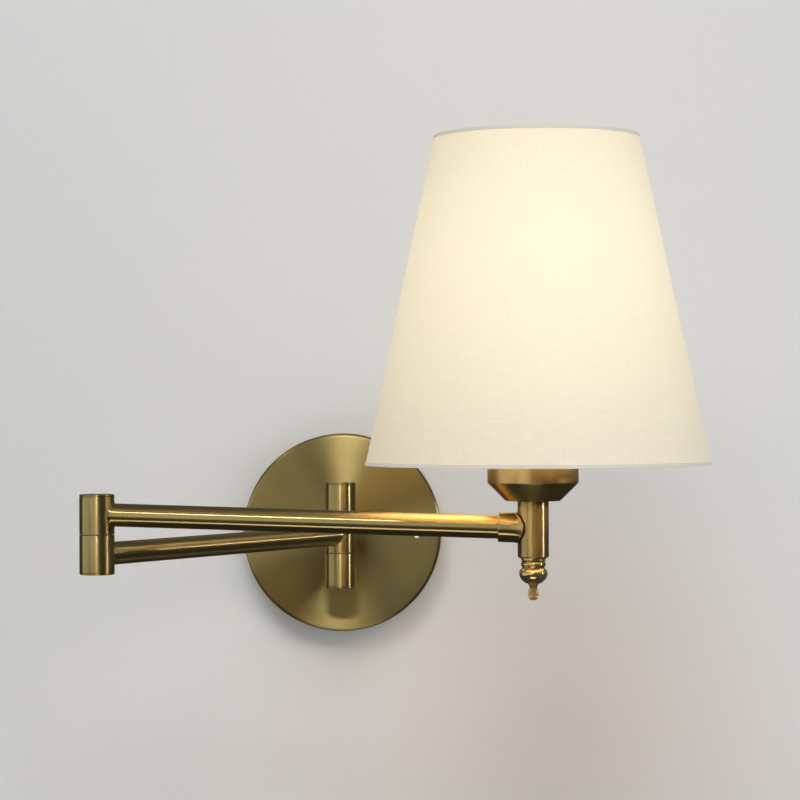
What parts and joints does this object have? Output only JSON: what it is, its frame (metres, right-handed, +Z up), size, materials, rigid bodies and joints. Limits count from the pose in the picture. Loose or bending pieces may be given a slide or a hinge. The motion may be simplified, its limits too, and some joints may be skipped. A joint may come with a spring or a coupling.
{
  "type": "swing arm wall sconce",
  "caption": "Swing arm wall lamp: a round brass backplate, a hinged post, two tube arms folding at an elbow, and a lamp head with a conical fabric shade over a finial.",
  "frame": {"origin": "centre of the backplate and its mounting strap, on the wall plane", "axes": "+Z up; +Y into the wall, so the lamp stands out along -Y; +X to the right for someone facing the wall"},
  "size_m": [0.3258, 0.3447, 0.2747],
  "materials": {
    "satin_brass": "brushed satin, antique brass tone",
    "polished_brass": "polished",
    "nickel": "nickel plated",
    "zinc_steel": "zinc plated",
    "nylon": "natural nylon",
    "black_plastic": "moulded, matt black",
    "white_plastic": "moulded, satin white",
    "frosted_diffuser": "frosted opal, lit",
    "linen": "off-white linen weave on a stiff backing",
    "rim_tape": "off-white bound edge",
    "white_wire": "white powder coat",
    "lead_jacket": "gold-brown flex"
  },
  "bodies": {
    "wall_plate": {"backplate": "satin_brass", "mounting_strap": "zinc_steel", "terminal_block": "white_plastic", "earth_screw": "polished_brass", "cover_screw_left": "nickel", "cover_screw_right": "nickel", "hinge_stub_upper": "satin_brass", "hinge_stub_lower": "satin_brass", "stub_nut_upper": "zinc_steel", "stub_nut_lower": "zinc_steel", "supply_lead": "lead_jacket", "post_barrel_upper": "satin_brass", "post_barrel_lower": "satin_brass", "post_cap_upper": "satin_brass", "post_cap_lower": "satin_brass", "post_pivot_tube": "zinc_steel", "post_pivot_bolt": "zinc_steel", "post_nut_upper": "zinc_steel", "post_nut_middle_upper": "zinc_steel", "post_nut_middle_lower": "zinc_steel"},
    "lower_arm": {"middle_barrel": "satin_brass", "middle_barrel_plug": "satin_brass", "post_washer_upper": "nylon", "post_washer_lower": "nylon", "lower_arm_tube": "satin_brass", "lower_arm_lead": "lead_jacket", "elbow_barrel_lower": "satin_brass", "elbow_cap_lower": "satin_brass", "elbow_pivot_tube": "zinc_steel", "elbow_nut_lower": "zinc_steel", "elbow_nut_upper": "zinc_steel"},
    "upper_arm": {"elbow_washer": "nylon", "elbow_barrel_upper": "satin_brass", "elbow_cap_upper": "satin_brass", "upper_arm_tube": "satin_brass", "upper_arm_lead": "lead_jacket", "arm_collar": "satin_brass", "head_stem": "satin_brass", "finial": "polished_brass", "stem_nipple": "zinc_steel", "socket_cup": "satin_brass", "lampholder_base": "black_plastic", "lampholder_skirt": "white_plastic", "shade_ring_nut": "white_plastic", "bulb_cap": "nickel", "bulb_housing": "white_plastic", "bulb_globe": "frosted_diffuser", "shade_fabric": "linen", "shade_rim_bottom": "rim_tape", "shade_rim_top": "rim_tape", "shade_hoop_bottom": "white_wire", "shade_hoop_top": "white_wire", "shade_carrier_ring": "white_wire", "shade_carrier_arm_1": "white_wire", "shade_carrier_arm_2": "white_wire", "shade_carrier_arm_3": "white_wire"}
  },
  "joints": [
    {"name": "wall_swing", "type": "hinge", "parent": "wall_plate", "child": "lower_arm", "pos_m": [0, -0.05, 0], "axis": [0, 0, 1], "range_deg": [-58, 50]},
    {"name": "elbow_swing", "type": "hinge", "parent": "lower_arm", "child": "upper_arm", "pos_m": [-0.11909, -0.24208, 0.0104], "axis": [0, 0, -1], "range_deg": [-26, 218]}
  ]
}
